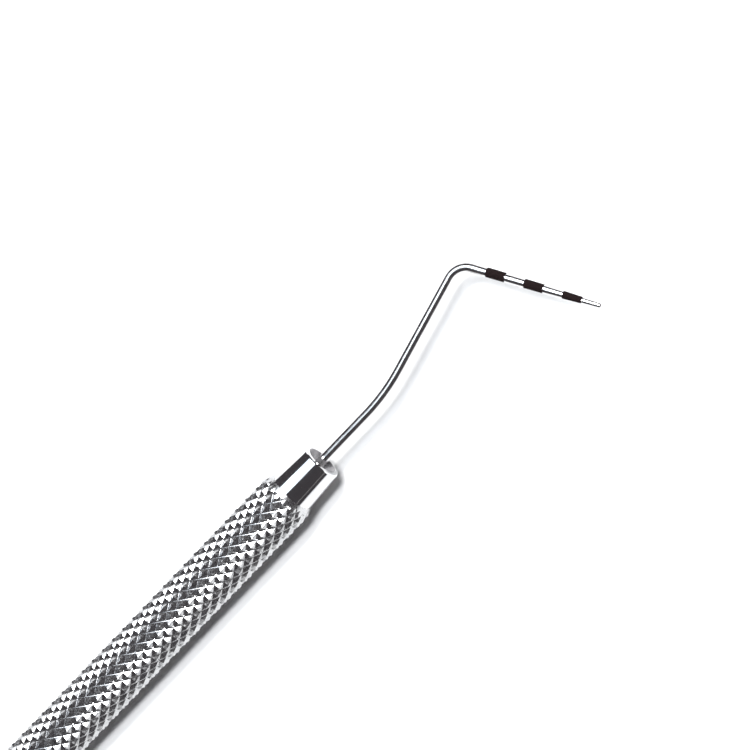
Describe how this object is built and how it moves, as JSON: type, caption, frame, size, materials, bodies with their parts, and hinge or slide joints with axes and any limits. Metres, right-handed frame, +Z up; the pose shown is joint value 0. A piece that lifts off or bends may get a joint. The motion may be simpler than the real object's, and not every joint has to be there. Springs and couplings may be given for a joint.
{
  "type": "periodontal probe",
  "caption": "Single-ended periodontal probe: knurled hollow round handle, turned nose, bent tapering wire tip with black depth bands and a rounded point.",
  "frame": {"origin": "on the surface that the handle lies on, under the middle of the whole instrument's box", "axes": "+X runs along the handle from the tail to the tip, +Z is up; the bends of the tip lie in the plane parallel to XY through the handle's axis, with the elbow on the +Y side and the working end crossing to -Y"},
  "size_m": [0.165, 0.0132, 0.0057],
  "materials": {
    "handle_steel": "bright rolled knurl with polished points",
    "polished_steel": "mirror polished stainless steel with faint turning marks",
    "tip_steel": "polished drawn stainless wire",
    "braze_metal": "dull braze",
    "band_coating": "matt brown-black coating baked into a shallow groove"
  },
  "bodies": {
    "root": {"handle_tube": "handle_steel", "nose_cone": "polished_steel", "probe_tip": "tip_steel", "tip_braze_fillet": "braze_metal", "nose_bond_ring": "braze_metal", "marking_band_2_to_4_mm": "band_coating", "marking_band_6_to_8_mm": "band_coating", "marking_band_10_to_12_mm": "band_coating", "tail_plug": "polished_steel", "tail_bond_ring": "braze_metal"}
  },
  "joints": []
}
